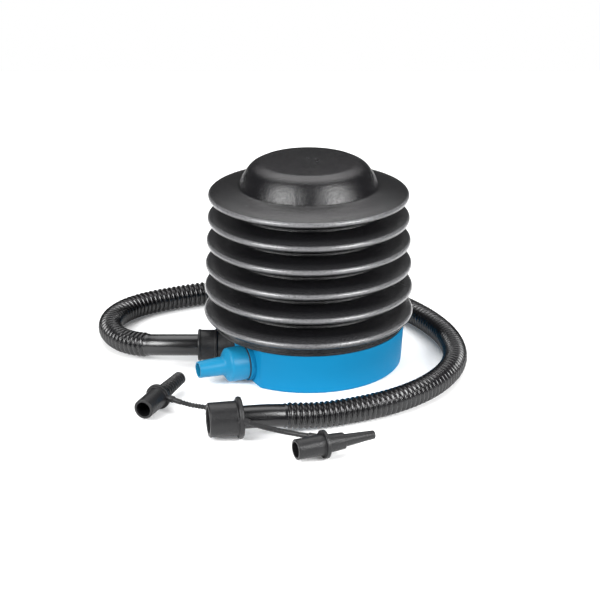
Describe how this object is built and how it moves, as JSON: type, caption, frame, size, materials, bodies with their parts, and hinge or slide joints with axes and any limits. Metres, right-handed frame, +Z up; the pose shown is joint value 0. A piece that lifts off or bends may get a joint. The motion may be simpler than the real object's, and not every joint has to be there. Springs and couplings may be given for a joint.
{
  "type": "foot bellows pump",
  "caption": "Foot-operated bellows air pump: black ribbed bellows with a domed tread on a round blue base with a deflate spigot, a corrugated hose and push-on valve tips on tethers.",
  "frame": {"origin": "on the bellows axis, on the underside of the base plate, where the pump stands on the floor", "axes": "+Z up along the bellows axis; the hose leaves the inflate port along -X; -Y is the side with the hose's free end"},
  "size_m": [0.2595, 0.2921, 0.1425],
  "materials": {
    "blue_shell": "satin moulded plastic, bright blue",
    "blue_nozzle": "glossy moulded plastic, light cyan-blue",
    "black_base": "plain moulded black plastic",
    "bellows_black": "blow-moulded black plastic with a fine leather grain, semi-gloss",
    "steel": "zinc-plated steel",
    "valve_rubber": "soft rubber",
    "valve_seat": "natural white plastic",
    "hose_black": "corrugated black plastic, semi-gloss",
    "tip_black": "soft black vinyl, semi-matte"
  },
  "bodies": {
    "base": {"base_shell": "blue_shell", "base_plate": "black_base", "base_screws": "steel", "intake_duct": "black_base", "exhaust_duct": "black_base", "intake_seat": "valve_seat", "intake_pin": "steel", "exhaust_seat": "valve_seat", "exhaust_pin": "steel", "deflate_nozzle": "blue_nozzle", "deflate_oring": "valve_rubber", "inflate_nozzle": "blue_nozzle", "port_sleeve": "hose_black", "seat_ring": "black_base", "clamp_ring": "black_base", "ring_screws": "steel", "bellows": "bellows_black", "spring_base_cup": "black_base", "return_spring": "steel"},
    "tread": {"step_dome": "bellows_black", "spring_top_cup": "black_base"},
    "intake_valve": {"intake_flap": "valve_rubber"},
    "exhaust_valve": {"exhaust_flap": "valve_rubber"},
    "hose_set": {"hose_coupling": "hose_black", "coupling_seal": "valve_rubber", "hose": "hose_black", "hose_barb": "black_base"},
    "tip_set": {"tip_adapter": "tip_black", "tether_rib": "tip_black", "tether_cone": "tip_black", "rib_adapter": "tip_black", "cone_adapter": "tip_black"}
  },
  "joints": [
    {"name": "tread_press", "type": "slide", "parent": "base", "child": "tread", "axis": [0, 0, -1], "range_m": [0, 0.058], "stiffness_N_per_m": 700, "springref_m": -0.02, "deforming": ["bellows", "return_spring"]},
    {"name": "intake_flap_hinge", "type": "hinge", "parent": "base", "child": "intake_valve", "pos_m": [-0.01459, -0.038, 0.0308], "axis": [0.5643, 0.8256, 0], "range_deg": [0, 32], "stiffness_Nm_per_rad": 0.0008, "springref_deg": -11.46},
    {"name": "exhaust_flap_hinge", "type": "hinge", "parent": "base", "child": "exhaust_valve", "pos_m": [-0.0281, -0.0115, 0.0218], "axis": [0, -1, 0], "range_deg": [0, 32], "stiffness_Nm_per_rad": 0.0008, "springref_deg": -22.92},
    {"name": "coupling_pull", "type": "slide", "parent": "base", "child": "hose_set", "axis": [-1, 0, 0], "range_m": [0, 0.02]},
    {"name": "tip_pull", "type": "slide", "parent": "hose_set", "child": "tip_set", "axis": [-0.9793, -0.2026, 0], "range_m": [0, 0.018]}
  ]
}
